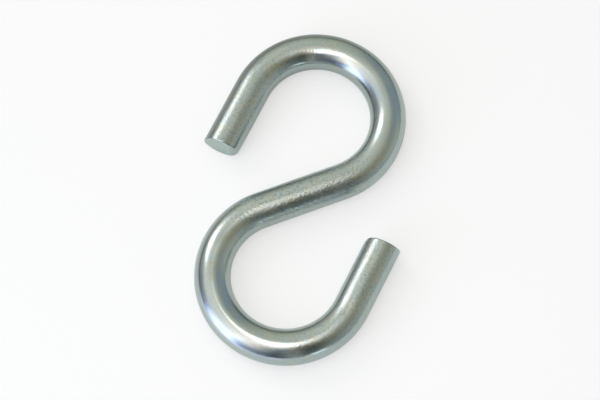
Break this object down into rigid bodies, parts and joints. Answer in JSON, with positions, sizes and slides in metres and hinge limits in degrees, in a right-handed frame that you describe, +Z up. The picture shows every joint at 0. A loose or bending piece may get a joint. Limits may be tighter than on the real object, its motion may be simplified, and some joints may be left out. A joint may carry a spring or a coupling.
{
  "type": "s hook",
  "caption": "Open S hook bent from round bright zinc plated steel rod, with a round eye at each end, a straight bar between them and cropped tips.",
  "frame": {"origin": "on the surface that the hook lies on, below the middle of the bar between the two eyes, about which the hook is point symmetric", "axes": "+Z up out of the flat of the hook, +Y from the lower eye's centre towards the upper eye's centre, +X towards the closed side of the upper eye"},
  "size_m": [0.0354, 0.058, 0.006],
  "materials": {
    "zinc_plated_steel": "bright zinc plate over drawn rod, clear passivated, slightly rippled gloss"
  },
  "bodies": {
    "root": {"s_hook": "zinc_plated_steel"}
  },
  "joints": []
}
